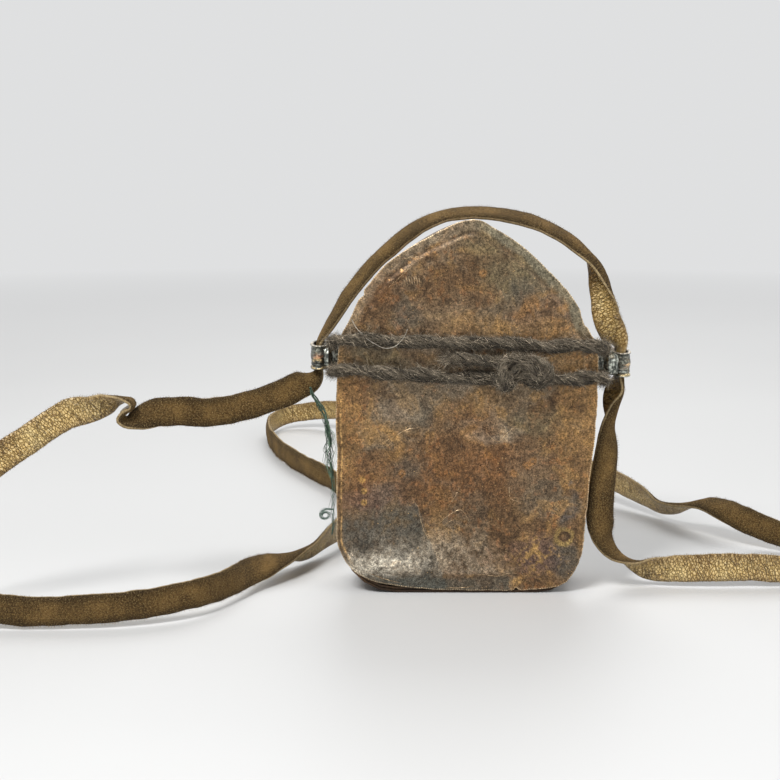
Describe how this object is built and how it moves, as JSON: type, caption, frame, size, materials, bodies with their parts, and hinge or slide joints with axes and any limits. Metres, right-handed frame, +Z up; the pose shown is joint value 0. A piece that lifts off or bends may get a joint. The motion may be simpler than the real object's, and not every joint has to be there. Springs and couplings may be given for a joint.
{
  "type": "amulet box",
  "caption": "Pointed-arch amulet box of sheet metal with a glazed embossed front, a lift-off back tied on with wool, two side lugs and a leather carrying strap.",
  "frame": {"origin": "middle of the flat base that the case stands on", "axes": "+Z up along the case towards the tip of its arch; -Y is the plain back that the picture shows, +Y the embossed front; +X is to the right as the back is seen"},
  "size_m": [0.3307, 0.3584, 0.1429],
  "materials": {
    "case_copper": "worn, patinated",
    "plate_copper": "mottled brown patina with ochre patches and fine scratches",
    "front_silver": "embossed, tarnished in the hollows",
    "glass": "clear",
    "lug_brass": "grey-green patina, bright on the ribs",
    "clay": "unfired clay",
    "silk": "woven, soft sheen",
    "paper": "aged handmade paper",
    "thread": "matt thread",
    "strap_leather": "grained golden brown on one side, brown suede on the other",
    "wool": "fuzzy two-ply wool"
  },
  "bodies": {
    "case": {"side_wall": "case_copper", "front_panel": "front_silver", "border_wire": "front_silver", "window_frame": "front_silver", "window_pane": "glass", "window_tabs": "front_silver", "lug_left": "lug_brass", "lug_right": "lug_brass", "lug_seat_left": "lug_brass", "lug_seat_right": "lug_brass", "clay_tablet": "clay", "silk_pad": "silk", "prayer_roll_left": "paper", "prayer_roll_middle": "paper", "prayer_roll_right": "paper", "roll_threads": "thread", "strap_over": "strap_leather", "strap_loop": "strap_leather"},
    "cover": {"back_plate": "plate_copper", "cover_flange": "case_copper", "tie_left": "wool", "tie_right": "wool", "tie_knot": "wool"}
  },
  "joints": [
    {"name": "cover_lift", "type": "slide", "parent": "case", "child": "cover", "axis": [0, -1, 0], "range_m": [0, 0.014], "deforming": ["tie_left", "tie_right"]}
  ]
}
